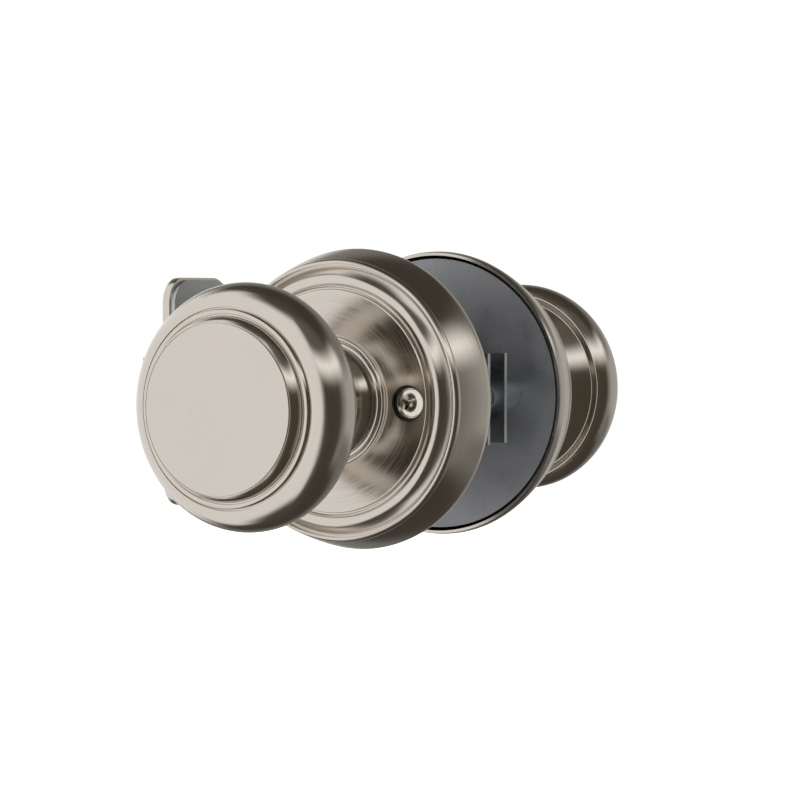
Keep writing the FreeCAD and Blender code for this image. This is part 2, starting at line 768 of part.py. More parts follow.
def make_latch_hub():
    """Hub with the spindle's square hole and one arm for each hook."""
    half = "hub_width/2"
    barrel = rod("hub_barrel", "y", "hub_radius", f"-{half}", "hub_width")
    arms = []
    for index, turn in enumerate((-1, 1)):
        arm = doc.addObject("Part::Box", f"hub_arm_{index}")
        bind(arm, Length="arm_width", Width="arm_thickness", Height="arm_reach")
        arm.Placement = FreeCAD.Placement(
            FreeCAD.Vector(0, 0, 0), FreeCAD.Rotation(FreeCAD.Vector(0, 1, 0), 1))
        lean = "arm_lean" if turn < 0 else "180 - arm_lean"
        bind(arm, Placement__Rotation__Angle=f"-({lean}) * 1 deg",
             Placement__Base__x=f"-arm_width/2*cos(({lean}) * 1 deg)",
             Placement__Base__y="-arm_thickness/2",
             Placement__Base__z=f"-arm_width/2*sin(({lean}) * 1 deg)")
        arms.append(arm)
    square = block("hub_square", (f"-{SQUARE_HOLE}/2", f"{SQUARE_HOLE}/2"),
                   ("-hub_width", "hub_width"), (f"-{SQUARE_HOLE}/2", f"{SQUARE_HOLE}/2"))
    cut("latch_hub", fuse("hub_solid", [barrel] + arms), [square])


def make_bolt_fork():
    """Plate fork behind the bolt: base, two rails, two prongs and their hooks."""
    thick = ("fork_foot", "fork_foot + fork_thickness")
    pieces = [block("fork_base", (f"-{FLANGE_END}", f"-{FORK_END}"),
                    ("-(fork_foot + fork_thickness)", thick[1]), ("-rail_outer", "rail_outer"))]
    for index, sign in enumerate((1, -1)):
        spans = {
            "rail": ((f"-{FORK_END} - 0.5", "0"), thick, ("rail_inner", "rail_outer")),
            "prong": (("-prong_start", "0"), thick, ("rail_inner", "prong_outer")),
            "hook": (("-hook_face", "-hook_face + hook_thickness"),
                     ("-arm_thickness/2", thick[1]), ("hook_inner", "prong_outer")),
        }
        for name, (x_span, y_span, z_span) in spans.items():
            if sign < 0:
                z_span = (f"-({z_span[1]})", f"-({z_span[0]})")
            pieces.append(block(f"fork_{name}_{index}", x_span, y_span, z_span))
    fuse("bolt_fork", pieces)


def make_latch_bolt():
    """Bevelled bolt head with a round flange that runs in the tube."""
    tip = "(backset + bolt_throw)"
    flange_start = f"({TUBE_START} - 0.1)"
    flange = rod("bolt_flange", "x", f"{TUBE_BORE} - bolt_flange_fit", f"-{flange_start}",
                 "bolt_flange_length")
    head = doc.addObject("PartDesign::Body", "bolt_head")
    sketch = new_sketch(head, "XY_Plane", "-head_height/2")
    draw_outline(sketch, [
        (f"-{flange_start} + 1", "-head_width/2"),
        (f"-{flange_start} + 1", "head_width/2"),
        ("-backset - 1", "head_width/2"),
        (f"-{tip}", "-head_width/2 + 1.2"),
        (f"-{tip}", "-head_width/2"),
    ])
    pad(head, sketch, "head_height")
    fuse("latch_bolt", [flange, head])


def make_latch_spring():
    """Compression coil between the fork's base and the spring stop."""
    body = new_body("latch_spring")
    body.Placement = FreeCAD.Placement(
        FreeCAD.Vector(0, 0, 0), FreeCAD.Rotation(FreeCAD.Vector(0, 1, 0), 90))
    bind(body, Placement__Base__x=f"-{FORK_END} + latch_wire/2 + 0.1")
    sketch = new_sketch(body, "XZ_Plane")
    draw_circle(sketch, "latch_spring_radius", "0", "latch_wire/2")
    helix = body.newObject("PartDesign::AdditiveHelix", "latch_spring_coil")
    helix.Profile = sketch
    helix.ReferenceAxis = (sketch, ["V_Axis"])
    helix.Mode = 3
    bind(helix, Height=f"{FORK_END} - {STOP_START} - latch_wire - 0.2", Turns="latch_spring_turns")
    helix.Growth = 0


def plate_outline(thickness_shift="0"):
    """Return a tall plate's outline with rounded corners, drawn as (y, z)."""
    half_width = f"(plate_width/2 - {thickness_shift})"
    half_height = f"(plate_height/2 - {thickness_shift})"
    inner_width = f"({half_width} - plate_corner)"
    inner_height = f"({half_height} - plate_corner)"
    return [
        (inner_width, f"-{half_height}", "plate_corner", "left"),
        (half_width, f"-{inner_height}"),
        (half_width, inner_height, "plate_corner", "left"),
        (inner_width, half_height),
        (f"-{inner_width}", half_height, "plate_corner", "left"),
        (f"-{half_width}", inner_height),
        (f"-{half_width}", f"-{inner_height}", "plate_corner", "left"),
        (f"-{inner_width}", f"-{half_height}"),
    ]


PLATE_SCREWS = [("0", "screw_spacing/2"), ("0", "-screw_spacing/2")]


def make_plate(label, start, thickness, shift, hole):
    """Faceplate or backplate: rounded plate, bolt opening and two screw holes."""
    body = new_body(label)
    sketch = new_sketch(body, "YZ_Plane", start)
    draw_outline(sketch, plate_outline(shift))
    draw_outline(sketch, box_corners("head_width + 2*head_fit", "head_height + 2*head_fit"))
    for y, z in PLATE_SCREWS:
        draw_circle(sketch, y, z, hole)
    pad(body, sketch, thickness)
    return body


def make_faceplate():
    """Edge plate with countersunk screw holes."""
    make_plate("faceplate_blank", "-backset", "plate_thickness", "0",
               "wood_screw_shoulder + wood_screw_fit")
    sinks = []
    for index, (y, z) in enumerate(PLATE_SCREWS):
        cone = doc.addObject("Part::Cone", f"plate_sink_{index}")
        bind(cone, Radius1="wood_screw_head + wood_screw_fit",
             Radius2="wood_screw_shoulder + wood_screw_fit", Height="plate_thickness")
        cone.Placement.Rotation = FreeCAD.Rotation(FreeCAD.Vector(0, 1, 0), 90)
        sinks.append(place(cone, "-backset", y, z))
    cut("latch_faceplate", doc.getObject("faceplate_blank"), sinks)


def make_faceplate_screws():
    """Two countersunk wood screws through the plates into the door's edge."""
    pieces = []
    slots = []
    cross = (("recess_width", "recess_length"), ("recess_length", "recess_width"))
    for index, (y, z) in enumerate(PLATE_SCREWS):
        head = doc.addObject("Part::Cone", f"wood_screw_head_{index}")
        bind(head, Radius1="wood_screw_head", Radius2="wood_screw_shoulder",
             Height="plate_thickness")
        head.Placement.Rotation = FreeCAD.Rotation(FreeCAD.Vector(0, 1, 0), 90)
        pieces.append(place(head, "-backset", y, z))
        pieces.append(rod(f"wood_screw_shoulder_{index}", "x", "wood_screw_shoulder",
                          "-backset + plate_thickness/2",
                          "plate_thickness/2 + backplate_thickness", (y, z)))
        pieces.append(rod(f"wood_screw_shank_{index}", "x", "wood_screw_radius",
                          "-backset + plate_thickness/2", "wood_screw_length", (y, z)))
        for turn, (width, height) in enumerate(cross):
            slots.append(block(f"wood_screw_slot_{index}_{turn}",
                               ("-backset - 1", "-backset + recess_depth"),
                               (f"{y} - {width}/2", f"{y} + {width}/2"),
                               (f"{z} - {height}/2", f"{z} + {height}/2")))
    cut("faceplate_screws", fuse("wood_screws_solid", pieces), slots)


# ---------------------------------------------------------------- the whole set
SIDES = ("interior", "exterior")
HALF_NODES = ("knob_front", "knob_back", "knob_core", "knob_neck", "drive_socket",
              "retaining_ring", "rose", "rose_liner", "spring_cage", "return_spring",
              "spring_driver", "collar_bush")
SHARED_NODES = ("mounting_screws", "mounting_posts", "spindle", "spindle_pin", "latch_case",
                "case_rivets", "spring_stop", "latch_hub", "bolt_fork", "latch_bolt",
                "latch_spring", "latch_faceplate", "latch_backplate", "faceplate_screws")

for half in SIDES:
    make_half(half)
make_mounting_screws()
make_mounting_posts()
make_spindle()
make_spindle_pin()
make_latch_case()
make_case_rivets()
make_spring_stop()
make_latch_hub()
make_bolt_fork()
make_latch_bolt()
make_latch_spring()
make_faceplate()
make_plate("latch_backplate", f"-{PLATE_INSIDE}", "backplate_thickness", "0.6",
           "wood_screw_shoulder + 2*wood_screw_fit")
make_faceplate_screws()
doc.recompute()

for thing in doc.Objects:
    if {"Invalid", "Error"} & set(thing.State):
        raise RuntimeError(f"{thing.Name} did not recompute: {thing.State}")

for node in [f"{half}_{name}" for half in SIDES for name in HALF_NODES] + list(SHARED_NODES):
    shape = doc.getObjectsByLabel(node)[0].Shape
    if shape.isNull() or not shape.isValid():
        raise RuntimeError(f"{node} has no sound shape")
    shape.exportStep(f"parts/{node}.step")
    box = shape.BoundBox
    print(f"{node:26s} {len(shape.Solids)} solid(s) {shape.Volume:10.1f} mm3 "
          f"x {box.XMin:.2f}..{box.XMax:.2f} y {box.YMin:.2f}..{box.YMax:.2f} "
          f"z {box.ZMin:.2f}..{box.ZMax:.2f}")
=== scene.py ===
"""Passage door knob set in satin nickel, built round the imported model.

The knobs, roses, necks, screws, faceplate and bolt are modelled here as spun and
bevelled shells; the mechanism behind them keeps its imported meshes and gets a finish.
"""
import json
import logging
import math
from collections.abc import Callable
from dataclasses import dataclass, field
from enum import Enum

import bmesh
import bpy
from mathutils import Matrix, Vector


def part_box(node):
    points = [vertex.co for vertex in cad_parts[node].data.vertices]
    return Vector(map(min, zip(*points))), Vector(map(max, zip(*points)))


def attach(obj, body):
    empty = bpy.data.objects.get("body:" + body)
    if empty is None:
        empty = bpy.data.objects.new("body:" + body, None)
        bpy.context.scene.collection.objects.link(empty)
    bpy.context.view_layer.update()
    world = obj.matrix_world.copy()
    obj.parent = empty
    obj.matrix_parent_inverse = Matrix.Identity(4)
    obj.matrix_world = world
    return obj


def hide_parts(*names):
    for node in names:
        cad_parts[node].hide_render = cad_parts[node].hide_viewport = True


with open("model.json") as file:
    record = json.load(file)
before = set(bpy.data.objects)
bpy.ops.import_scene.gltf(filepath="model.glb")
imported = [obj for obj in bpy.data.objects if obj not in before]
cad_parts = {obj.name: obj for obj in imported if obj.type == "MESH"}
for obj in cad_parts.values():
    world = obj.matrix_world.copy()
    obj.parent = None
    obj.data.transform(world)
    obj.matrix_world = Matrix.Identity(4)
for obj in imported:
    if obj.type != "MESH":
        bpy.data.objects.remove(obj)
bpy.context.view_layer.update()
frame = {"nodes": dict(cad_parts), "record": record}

logging.basicConfig(level=logging.INFO, format="%(message)s")
log = logging.getLogger("door_knob")

MM = 0.001
SPIN_STEPS = 192
WELD = 2e-6  # m; points of a spun piece nearer than this become one


class Side(Enum):
    """The two halves of the set; the value is the way its +height points along Y."""

    INTERIOR = -1
    EXTERIOR = 1

    @property
    def prefix(self) -> str:
        """Start of the names of this half's nodes."""
        return self.name.lower()

    @property
    def body(self) -> str:
        """The moving body of this half."""
        return f"{self.prefix}_knob"

    @property
    def door_face(self) -> float:
        """Y of the door face that this half stands on, in mm."""
        low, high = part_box(f"{self.prefix}_rose")
        return (high[1] if self is Side.INTERIOR else low[1]) / MM


class Bulge(Enum):
    """Which side of its chord an arc swells to, seen along the outline."""

    LEFT = 1
    RIGHT = -1


# ------------------------------------------------------------------ small helpers
def linear(hex_colour: str) -> tuple[float, float, float, float]:
    """Turn an sRGB hex colour into linear RGBA.

    Args:
        hex_colour: Six hex digits after a hash, such as "#cdc5bd".

    Returns:
        Linear red, green, blue and an alpha of 1.
    """
    digits = hex_colour.lstrip("#")
    parts = [int(digits[i:i + 2], 16) / 255 for i in (0, 2, 4)]
    red, green, blue = (part / 12.92 if part <= 0.04045
                        else ((part + 0.055) / 1.055) ** 2.4 for part in parts)
    return red, green, blue, 1.0


def add_node(tree: bpy.types.NodeTree, kind: str, settings: dict | None = None,
             inputs: dict | None = None, links: dict | None = None) -> bpy.types.Node:
    """Add a shader node with its settings, input values and links.

    Args:
        tree: The node tree to add to.
        kind: Blender's type name of the node.
        settings: Properties of the node by name.
        inputs: Default values by input name or number.
        links: Output sockets to link, by input name or number.

    Returns:
        The new node.
    """
    node = tree.nodes.new(kind)
    for name, value in (settings or {}).items():
        setattr(node, name, value)
    for name, value in (inputs or {}).items():
        node.inputs[name].default_value = value
    for name, socket in (links or {}).items():
        tree.links.new(socket, node.inputs[name])
    return node


def deselect_all() -> None:
    """Leave nothing selected, in object mode."""
    if bpy.context.object and bpy.context.object.mode != "OBJECT":
        bpy.ops.object.mode_set(mode="OBJECT")
    bpy.ops.object.select_all(action="DESELECT")


def make_active(thing: bpy.types.Object) -> None:
    """Select one object alone and make it the active one."""
    deselect_all()
    thing.select_set(True)
    bpy.context.view_layer.objects.active = thing


def apply_place(thing: bpy.types.Object) -> None:
    """Move an object's place, turn and scale into its mesh."""
    make_active(thing)
    bpy.ops.object.transform_apply(location=True, rotation=True, scale=True)


def apply_modifier(thing: bpy.types.Object, kind: str, **settings: object) -> None:
    """Add one modifier to an object and apply it.

    Args:
        thing: The object to change.
        kind: Blender's type name of the modifier.
        **settings: The modifier's properties.
    """
    make_active(thing)
    modifier = thing.modifiers.new(kind.title(), kind)
    for name, value in settings.items():
        setattr(modifier, name, value)
    bpy.ops.object.modifier_apply(modifier=modifier.name)


def smooth(thing: bpy.types.Object, degrees: float = 32.0) -> None:
    """Shade an object smooth, with edges sharper than an angle kept sharp."""
    make_active(thing)
    bpy.ops.object.shade_smooth_by_angle(angle=math.radians(degrees))


def carve(thing: bpy.types.Object, tool: bpy.types.Object) -> None:
    """Cut a tool out of an object and remove the tool."""
    apply_modifier(thing, "BOOLEAN", operation="DIFFERENCE", object=tool,
                   solver="EXACT")
    bpy.data.objects.remove(tool, do_unlink=True)


def add_box(name: str, low: tuple[float, float, float],
            high: tuple[float, float, float]) -> bpy.types.Object:
    """Add a cube primitive between two corners given in mm."""
    deselect_all()
    middle = [(a + b) / 2 * MM for a, b in zip(low, high)]
    bpy.ops.mesh.primitive_cube_add(size=1.0, location=middle)
    thing = bpy.context.active_object
    thing.name = name
    thing.scale = [(b - a) * MM for a, b in zip(low, high)]
    apply_place(thing)
    return thing


def add_rod(name: str, radius: float, length: float,
            middle: tuple[float, float, float], axis: str,
            vertices: int = 96) -> bpy.types.Object:
    """Add a cylinder primitive along X or Y, sizes in mm."""
    deselect_all()
    turn = (0, math.pi / 2, 0) if axis == "X" else (math.pi / 2, 0, 0)
    bpy.ops.mesh.primitive_cylinder_add(
        vertices=vertices, radius=radius * MM, depth=length * MM,
        location=[part * MM for part in middle], rotation=turn)
    thing = bpy.context.active_object
    thing.name = name
    apply_place(thing)
    return thing


# ------------------------------------------------------------------ spun shells
@dataclass
class Outline:
    """Half-section of a spun piece: (radius, height off the door) points in mm.

    A holding point stands this far inside each end of a run, so that the shading of
    a flat stays flat beside a curve.
    """

    points: list[tuple[float, float]]
    hold: float = 0.05
    shortest_held: float = 0.4

    def line(self, radius: float, height: float) -> "Outline":
        """Run straight to a point, with holding points near both ends of a long run."""
        r0, h0 = self.points[-1]
        length = math.dist((r0, h0), (radius, height))
        if length > self.shortest_held:
            for share in (self.hold / length, 1 - self.hold / length):
                self.points.append((r0 + (radius - r0) * share,
                                    h0 + (height - h0) * share))
        self.points.append((radius, height))
        return self

    def arc(self, radius: float, height: float, curve: float, bulge: Bulge,
            steps: int = 12) -> "Outline":
        """Run to a point on an arc.

        Args:
            radius: Radius of the end point from the knob's axis.
            height: Height of the end point off the door.
            curve: The arc's own radius.
            bulge: The side that the arc swells to.
            steps: Number of straight steps that stand for it.

        Returns:
            The outline itself.
        """
        start = Vector(self.points[-1])
        end = Vector((radius, height))
        chord = end - start
        left = Vector((-chord.y, chord.x)).normalized()
        depth = math.sqrt(max(curve ** 2 - chord.length_squared / 4, 0.0))
        centre = (start + end) / 2 - left * depth * bulge.value
        first = math.atan2(start.y - centre.y, start.x - centre.x)
        sweep = 2 * math.asin(min(chord.length / 2 / curve, 1.0)) * -bulge.value
        for step in range(1, steps + 1):
            angle = first + sweep * step / steps
            self.points.append((centre.x + curve * math.cos(angle),
                                centre.y + curve * math.sin(angle)))
        self.points[-1] = (radius, height)
        return self

    def ellipse(self, centre: tuple[float, float], across: float, along: float,
                first: float, last: float, steps: int = 28) -> "Outline":
        """Follow an ellipse between two angles, in degrees from its outward radius."""
        for step in range(steps + 1):
            angle = math.radians(first + (last - first) * step / steps)
            self.points.append((centre[0] + across * math.cos(angle),
                                centre[1] + along * math.sin(angle)))
        return self


def spin(name: str, outline: Outline, side: Side,
         closed: bool = False) -> bpy.types.Object:
    """Extrude an outline point by point and spin it about the knob's axis.

    Args:
        name: Name of the piece.
        outline: Its half-section.
        side: The half it belongs to.
        closed: Whether the outline is joined back to its start.

    Returns:
        The spun piece, with its place in its mesh.
    """
    face = side.door_face
    places = [Vector((r, face + side.value * h, 0.0)) * MM for r, h in outline.points]
    if closed:
        places.append(places[0].copy())
    deselect_all()
    bpy.ops.mesh.primitive_plane_add(size=MM, location=places[0])
    piece = bpy.context.active_object
    piece.name = name
    bpy.ops.object.mode_set(mode="EDIT")
    bpy.ops.mesh.select_all(action="SELECT")
    bpy.ops.mesh.merge(type="CENTER")
    for before, after in zip(places, places[1:]):
        bpy.ops.mesh.extrude_vertices_move(
            TRANSFORM_OT_translate={"value": after - before})
    bpy.ops.mesh.select_all(action="SELECT")
    bpy.ops.mesh.spin(steps=SPIN_STEPS, angle=math.tau, center=(0, 0, 0), axis=(0, 1, 0))
    bpy.ops.mesh.select_all(action="SELECT")
    bpy.ops.mesh.remove_doubles(threshold=WELD)
    bpy.ops.mesh.normals_make_consistent(inside=False)
    bpy.ops.object.mode_set(mode="OBJECT")
    apply_place(piece)
    smooth(piece)
    return piece


# ------------------------------------------------------------------ finishes
@dataclass(frozen=True)
class SatinNickel:
    """Satin nickel plate: warm grey metal, brushed in circles and lacquered.

    The brushing gives a soft mirror with faint rings; no reflection is quite sharp.
    """

    name: str = "satin_nickel_plate"
    colour: str = "#d3cbc2"
    shade: str = "#cbc4bb"
    roughness: tuple[float, float] = (0.12, 0.20)
    line_spacing: float = 0.4  # mm; real lines are nearer 0.05 and would not show
    line_depth: float = 0.00035  # mm
    stretch: float = 0.6  # brushed plate smears a reflection across its lines
    patch_size: float = 14.0  # mm
    drift: float = 0.035  # how much a line wanders round the piece
    quarter_turn: float = 0.25  # of the stretch, so that it lies across the lines

    def build(self) -> bpy.types.Material:
        """Return the material: concentric brush lines about the Y axis."""
        material = bpy.data.materials.new(self.name)
        material.use_nodes = True
        tree = material.node_tree
        shader = tree.nodes["Principled BSDF"]
        place = add_node(tree, "ShaderNodeTexCoord")
        parts = add_node(tree, "ShaderNodeSeparateXYZ",
                         links={0: place.outputs["Object"]})
        flat = add_node(tree, "ShaderNodeCombineXYZ",
                        links={"X": parts.outputs["X"], "Z": parts.outputs["Z"]})
        radius = add_node(tree, "ShaderNodeVectorMath", {"operation": "LENGTH"},
                          links={0: flat.outputs[0]})
        rings = add_node(tree, "ShaderNodeCombineXYZ",
                         links={"X": radius.outputs["Value"], "Y": parts.outputs["Y"]})
        wander = add_node(tree, "ShaderNodeVectorMath", {"operation": "SCALE"},
                          {"Scale": self.drift}, {0: flat.outputs[0]})
        along = add_node(tree, "ShaderNodeVectorMath", {"operation": "ADD"},
                         links={0: rings.outputs[0], 1: wander.outputs[0]})
        lines = add_node(tree, "ShaderNodeTexNoise", {"noise_dimensions": "3D"},
                         {"Scale": 1 / (self.line_spacing * MM), "Detail": 3.0,
                          "Roughness": 0.6}, {"Vector": along.outputs[0]})
        patches = add_node(tree, "ShaderNodeTexNoise", {"noise_dimensions": "3D"},
                           {"Scale": 1 / (self.patch_size * MM), "Detail": 2.0},
                           {"Vector": place.outputs["Object"]})
        half = add_node(tree, "ShaderNodeMath", {"operation": "MULTIPLY"}, {1: 0.5},
                        {0: patches.outputs["Fac"]})
        rough = add_node(tree, "ShaderNodeMapRange", None,
                         {"From Min": 0.35, "From Max": 0.65, "To Min": self.roughness[0],
                          "To Max": self.roughness[1]}, {"Value": lines.outputs["Fac"]})
        blend = add_node(tree, "ShaderNodeMath", {"operation": "MULTIPLY_ADD"}, {1: 0.5},
                         {0: lines.outputs["Fac"], 2: half.outputs["Value"]})
        colour = add_node(tree, "ShaderNodeMix", {"data_type": "RGBA"},
                          {"A": linear(self.colour), "B": linear(self.shade)},
                          {"Factor": blend.outputs["Value"]})
        bump = add_node(tree, "ShaderNodeBump", None,
                        {"Strength": 0.6, "Distance": self.line_depth * MM},
                        {"Height": lines.outputs["Fac"]})
        round_axis = add_node(tree, "ShaderNodeTangent",
                              {"direction_type": "RADIAL", "axis": "Y"})
        shader.inputs["Metallic"].default_value = 1.0
        shader.inputs["Anisotropic"].default_value = self.stretch
        shader.inputs["Anisotropic Rotation"].default_value = self.quarter_turn
        tree.links.new(round_axis.outputs["Tangent"], shader.inputs["Tangent"])
        tree.links.new(colour.outputs["Result"], shader.inputs["Base Color"])
        tree.links.new(rough.outputs["Result"], shader.inputs["Roughness"])
        tree.links.new(bump.outputs["Normal"], shader.inputs["Normal"])
        return material


@dataclass(frozen=True)
class GrainedMetal:
    """Metal with an even grain: cast zinc, plated sheet, spring wire or screws."""

    name: str
    colour: str
    shade: str
    roughness: tuple[float, float]
    grain: float  # mm
    grain_depth: float  # mm
    metallic: float = 1.0
    stretch: tuple[float, float, float] = (1.0, 1.0, 1.0)

    def build(self) -> bpy.types.Material:
        """Return the material: a fine noise drives colour, roughness and relief."""
        material = bpy.data.materials.new(self.name)
        material.use_nodes = True
        tree = material.node_tree
        shader = tree.nodes["Principled BSDF"]
        place = add_node(tree, "ShaderNodeTexCoord")
        drawn = add_node(tree, "ShaderNodeMapping", None, {"Scale": self.stretch},
                         {"Vector": place.outputs["Object"]})
        grain = add_node(tree, "ShaderNodeTexNoise", {"noise_dimensions": "3D"},
                         {"Scale": 1 / (self.grain * MM), "Detail": 4.0,
                          "Roughness": 0.6}, {"Vector": drawn.outputs[0]})
        patches = add_node(tree, "ShaderNodeTexNoise", {"noise_dimensions": "3D"},
                           {"Scale": 0.1 / (self.grain * MM), "Detail": 2.0},
                           {"Vector": drawn.outputs[0]})
        rough = add_node(tree, "ShaderNodeMapRange", None,
                         {"From Min": 0.3, "From Max": 0.7, "To Min": self.roughness[0],
                          "To Max": self.roughness[1]}, {"Value": patches.outputs["Fac"]})
        colour = add_node(tree, "ShaderNodeMix", {"data_type": "RGBA"},
                          {"A": linear(self.colour), "B": linear(self.shade)},
                          {"Factor": grain.outputs["Fac"]})
        bump = add_node(tree, "ShaderNodeBump", None,
                        {"Strength": 0.7, "Distance": self.grain_depth * MM},
                        {"Height": grain.outputs["Fac"]})
        shader.inputs["Metallic"].default_value = self.metallic
        tree.links.new(colour.outputs["Result"], shader.inputs["Base Color"])
        tree.links.new(rough.outputs["Result"], shader.inputs["Roughness"])
        tree.links.new(bump.outputs["Normal"], shader.inputs["Normal"])
        return material


class Finishes:
    """The set's finishes by material slot, each built once."""

    RECIPES = {
        "satin_nickel": SatinNickel(),
        # Zamak casting, tumbled: dull pale grey with a slight orange-peel skin
        "die_cast_zinc": GrainedMetal("die_cast_zinc_alloy", "#a5a6a8", "#8c8d90",
                                      (0.42, 0.58), 0.9, 0.012),
        # Bright zinc plate on pressed steel: cool, slightly bluish, lightly spangled
        "zinc_plated_steel": GrainedMetal("bright_zinc_plated_steel", "#c3c6c9",
                                          "#a9adb2", (0.24, 0.38), 0.6, 0.003,
                                          stretch=(0.3, 1.0, 1.0)),
        # Oiled music wire: dark, drawn lengthwise
        "spring_steel": GrainedMetal("oiled_spring_steel", "#6d6c6d", "#4b4a4c",
                                     (0.25, 0.4), 0.5, 0.003),
        # Moulded natural nylon: milky, faintly glossy
        "nylon": GrainedMetal("moulded_natural_nylon", "#e8e4d6", "#ddd8c8",
                              (0.38, 0.5), 0.7, 0.006, metallic=0.0),
        # Polished nickel-plated screw: brighter than the rose round it
        "nickel_plated_screw": GrainedMetal("polished_nickel_screw", "#e2ddd4", "#d0cac0",
                                            (0.06, 0.14), 0.5, 0.002),
        # Cast bolt, polished and satin plated
        "plated_latch_bolt": GrainedMetal("satin_plated_bolt", "#cbc4bb", "#bdb5ab",
                                          (0.2, 0.3), 0.35, 0.002,
                                          stretch=(1.0, 1.0, 0.15)),
    }

    def __init__(self) -> None:
        """Build every finish."""
        self.materials = {slot: recipe.build() for slot, recipe in self.RECIPES.items()}
        self.slots = {part["node"]: part["material_slot"]
                      for part in frame["record"]["subparts"]}

    def dress(self, piece: bpy.types.Object, slot: str) -> None:
        """Give a piece one finish all over."""
        piece.data.materials.clear()
        piece.data.materials.append(self.materials[slot])

    def dress_packed_nodes(self) -> None:
        """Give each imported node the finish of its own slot."""
        for node, thing in frame["nodes"].items():
            self.dress(thing, self.slots[node])

    def settle(self, piece: bpy.types.Object, node: str, body: str) -> None:
        """Dress a new piece, let it stand for its node and ride on its body."""
        self.dress(piece, self.slots[node])
        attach(piece, body)
        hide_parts(node)
        log.info("%s: %d faces, stands for %s", piece.name,
                 len(piece.data.polygons), node)


# ------------------------------------------------------------------ sub-assemblies
@dataclass
class Knob:
    """Hollow knob: front shell, back shell and waisted neck."""

    side: Side
    radius: float = 27.0
    projection: float = 58.6
    wall: float = 1.2
    disc_radius: float = 18.4
    dish: float = 0.4
    crest_radius: float = 20.8  # where the band's quarter of an ellipse is centred
    widest: float = 47.5
    seam: float = 42.2
    tuck: float = 2.6
    back_foot: float = 33.4
    neck_radius: float = 12.2
    waist_radius: float = 10.6
    flare_radius: float = 13.0
    shoulder: float = 14.4
    shank_radius: float = 9.5
    shank_foot: float = 2.9
    clip_floor: float = 8.6  # radius at the bottom of the retaining clip's groove
    clip_groove: tuple[float, float] = (9.3, 10.3)
    socket_bore: float = 6.9
    socket_end: float = 14.5
    spindle_bore: float = 5.5
    core_bore: float = 12.1
    core_depth: float = 3.1
    back_curve: float = 26.0

    def front_outline(self) -> Outline:
        """Return the section from the middle of the face round to the inside."""
        top = self.projection
        edge = self.disc_radius - 0.15
        dish_curve = (edge ** 2 + self.dish ** 2) / (2 * self.dish)
        outline = Outline([(0.0, top - self.dish)])
        outline.arc(edge, top, dish_curve, Bulge.RIGHT, 24)
        # a fine scribed line round the disc, then the rounded shoulder
        outline.arc(edge + 0.1, top - 0.12, 0.13, Bulge.LEFT, 4)
        outline.line(edge + 0.13, top - 0.5).line(edge + 0.32, top - 0.5)
        outline.line(edge + 0.36, top - 0.25)
        outline.arc(19.9, 55.95, 4.0, Bulge.LEFT, 16)
        outline.line(19.93, 55.45).line(20.2, 55.45).line(20.25, 55.85)
        outline.arc(21.35, 55.1, 0.75, Bulge.LEFT, 14)
        outline.line(21.38, 54.55).line(21.66, 54.55)
        # broad band and flank: a quarter of an ellipse
        outline.ellipse((self.crest_radius, self.widest),
                        self.radius - self.crest_radius, 7.65, 81.0, 0.0, 40)
        outline.arc(self.radius - self.tuck + 0.35, self.seam + 0.25, 6.7,
                    Bulge.LEFT, 24)
        outline.arc(self.radius - self.tuck, self.seam, 0.4, Bulge.LEFT, 6)
        bore = self.radius - self.tuck - self.wall
        outline.line(bore, self.seam).line(bore, self.seam + 1.4)
        outline.line(self.radius - self.wall, self.widest)
        outline.line(self.radius - self.wall - 1.6, 51.6)
        outline.line(self.crest_radius, 53.9).line(18.9, 54.3)
        outline.line(edge - 0.6, top - self.wall)
        outline.line(0.0, top - self.wall - self.dish)
        return outline

    def back_outline(self) -> Outline:
        """Return the closed section of the back shell."""
        rim = self.radius - self.tuck - self.wall - 0.03
        outline = Outline([(self.flare_radius, self.back_foot)])
        outline.arc(rim - 0.25, self.seam - 0.1, self.back_curve, Bulge.RIGHT, 28)
        outline.arc(rim, self.seam + 0.15, 0.3, Bulge.RIGHT, 5)
        outline.line(rim, self.seam + self.wall)
        outline.line(rim - self.wall, self.seam + self.wall)
        outline.arc(self.flare_radius, self.back_foot + self.wall, self.back_curve,
                    Bulge.LEFT, 20)
        outline.line(self.core_bore, self.back_foot + self.wall)
        return outline.line(self.core_bore, self.back_foot)

    def neck_outline(self) -> Outline:
        """Return the closed section of the shank and neck."""
        low, high = self.clip_groove
        end = self.back_foot + self.core_depth
        outline = Outline([(self.socket_bore, self.shank_foot)])
        outline.line(self.shank_radius, self.shank_foot).line(self.shank_radius, low)
        outline.line(self.clip_floor, low).line(self.clip_floor, high)
        outline.line(self.shank_radius, high).line(self.shank_radius, self.shoulder)
        outline.line(self.neck_radius - 0.2, self.shoulder)
        outline.arc(self.neck_radius, self.shoulder + 0.2, 0.2, Bulge.RIGHT, 4)
        outline.line(self.neck_radius, self.shoulder + 1.6)
        outline.arc(self.waist_radius, self.shoulder + 6.0, 9.0, Bulge.LEFT, 16)
        outline.line(self.waist_radius, self.back_foot - 8.5)
        outline.arc(self.flare_radius, self.back_foot, 14.0, Bulge.LEFT, 24)
        outline.line(self.core_bore, self.back_foot).line(self.core_bore, end)
        outline.line(self.spindle_bore, end).line(self.spindle_bore, self.socket_end)
        return outline.line(self.socket_bore, self.socket_end)

    def build(self, finishes: Finishes) -> None:
        """Spin the three pieces and settle them on the knob's body."""
        sections = {"knob_front": (self.front_outline(), False),
                    "knob_back": (self.back_outline(), True),
                    "knob_neck": (self.neck_outline(), True)}
        for name, (outline, closed) in sections.items():
            node = f"{self.side.prefix}_{name}"
            finishes.settle(spin(f"{node}_spun", outline, self.side, closed), node,
                            self.side.body)


